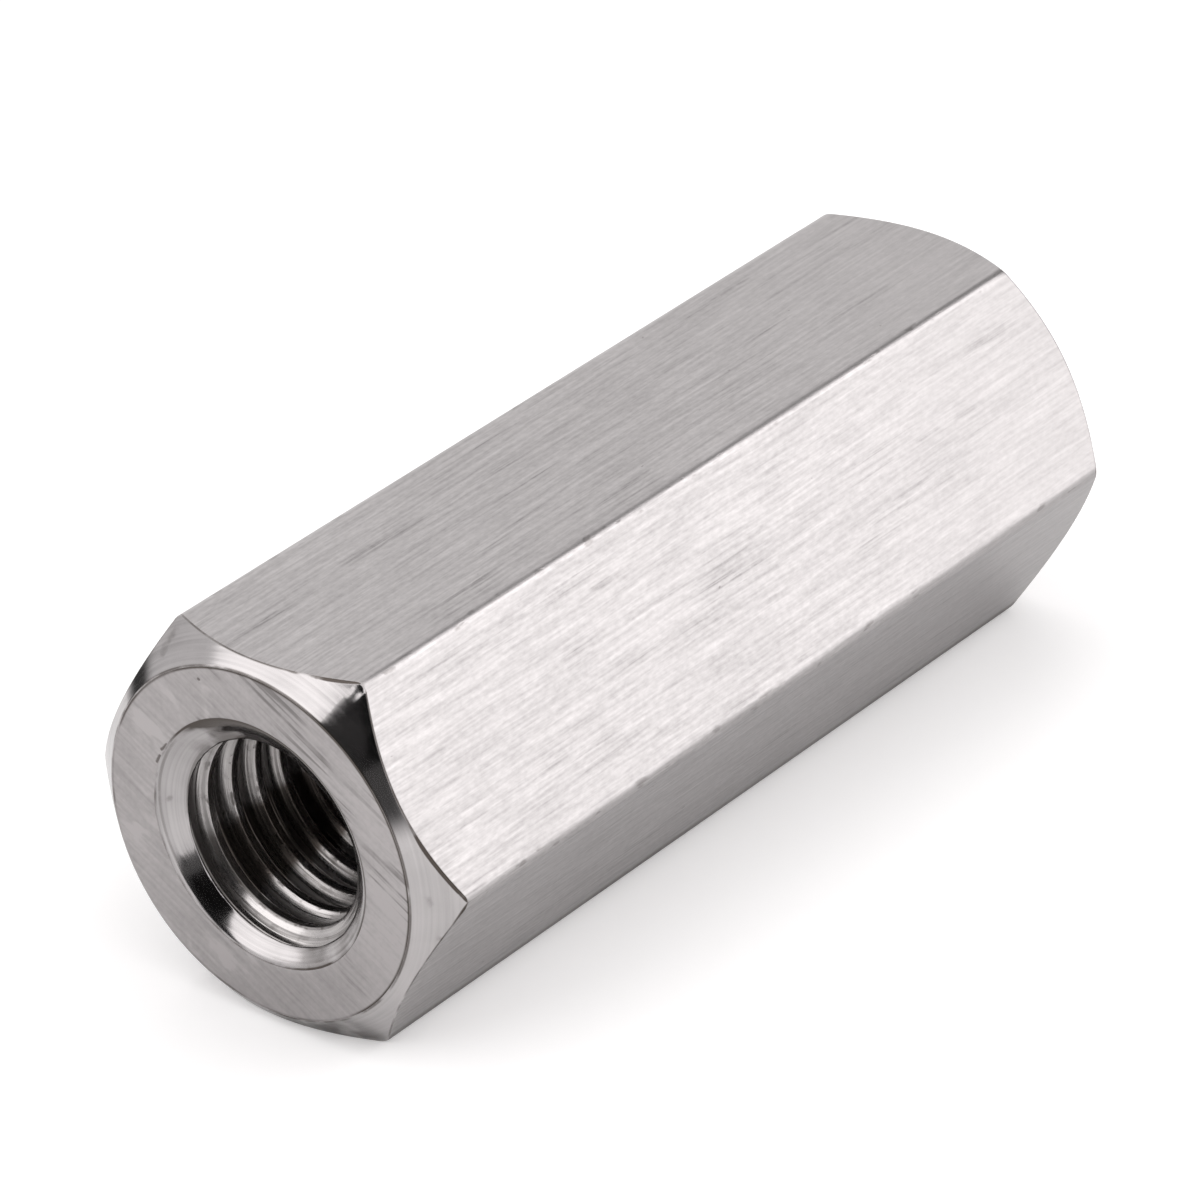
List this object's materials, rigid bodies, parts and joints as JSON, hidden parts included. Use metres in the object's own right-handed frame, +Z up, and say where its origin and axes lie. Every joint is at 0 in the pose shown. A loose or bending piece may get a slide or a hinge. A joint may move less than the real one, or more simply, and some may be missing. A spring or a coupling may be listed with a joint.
{
  "type": "coupling nut",
  "caption": "Long hexagon coupling nut, threaded right through, that joins two threaded rods end to end; turned edges and a countersunk mouth at each end.",
  "frame": {"origin": "centre of the base: on the supporting surface, under the middle of the nut", "axes": "+X along the thread's axis, +Z up out of the top flat, +Y sideways; the nut lies on one flat"},
  "size_m": [0.046, 0.0194, 0.017],
  "materials": {
    "stainless_steel": "drawn and lightly brushed bright flats, ground end faces, polished turned edges"
  },
  "bodies": {
    "root": {"coupling_nut": "stainless_steel"}
  },
  "joints": []
}
